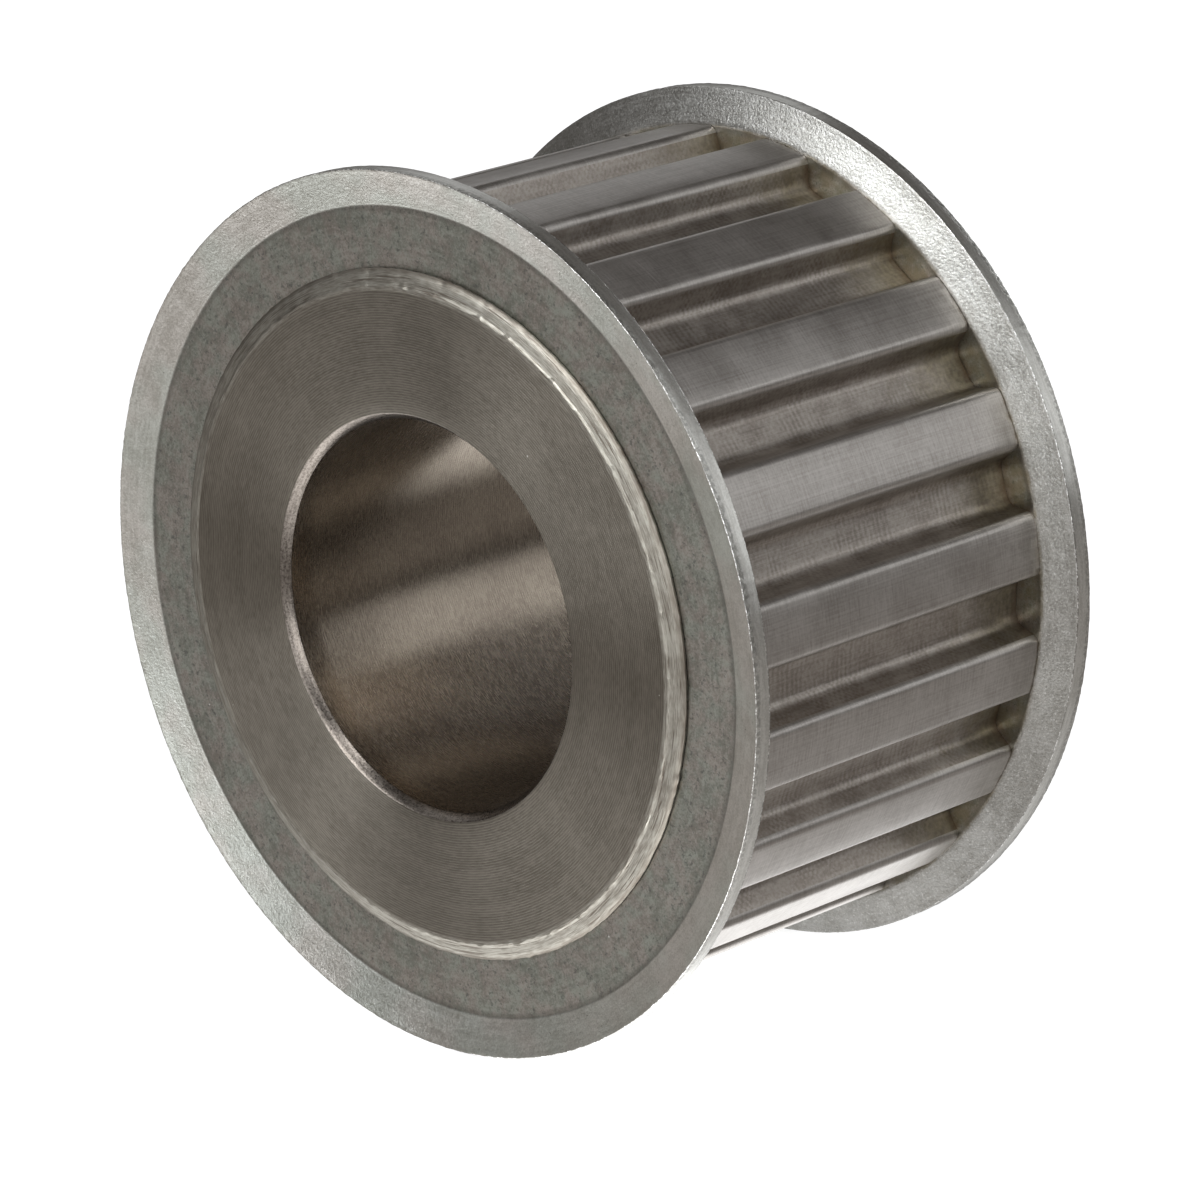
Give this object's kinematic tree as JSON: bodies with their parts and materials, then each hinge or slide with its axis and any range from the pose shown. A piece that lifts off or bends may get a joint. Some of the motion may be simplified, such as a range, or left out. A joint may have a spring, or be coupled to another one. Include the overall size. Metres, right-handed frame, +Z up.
{
  "type": "timing belt pulley",
  "caption": "Steel timing belt pulley: a toothed hub with a tapered bore for a split bushing, between two flared flanges swaged onto its ends.",
  "frame": {"origin": "centre of the pulley, on its axis and halfway between the flanges", "axes": "+Y along the axis of rotation, towards the back face where the bushing enters; +Z up"},
  "size_m": [0.0864, 0.0466, 0.0864],
  "materials": {
    "turned_steel": "turned and hobbed steel, lightly oiled",
    "plated_sheet": "pressed sheet steel, dull bright plating"
  },
  "bodies": {
    "pulley": {"toothed_hub": "turned_steel", "front_flange": "plated_sheet", "rear_flange": "plated_sheet"}
  },
  "joints": []
}
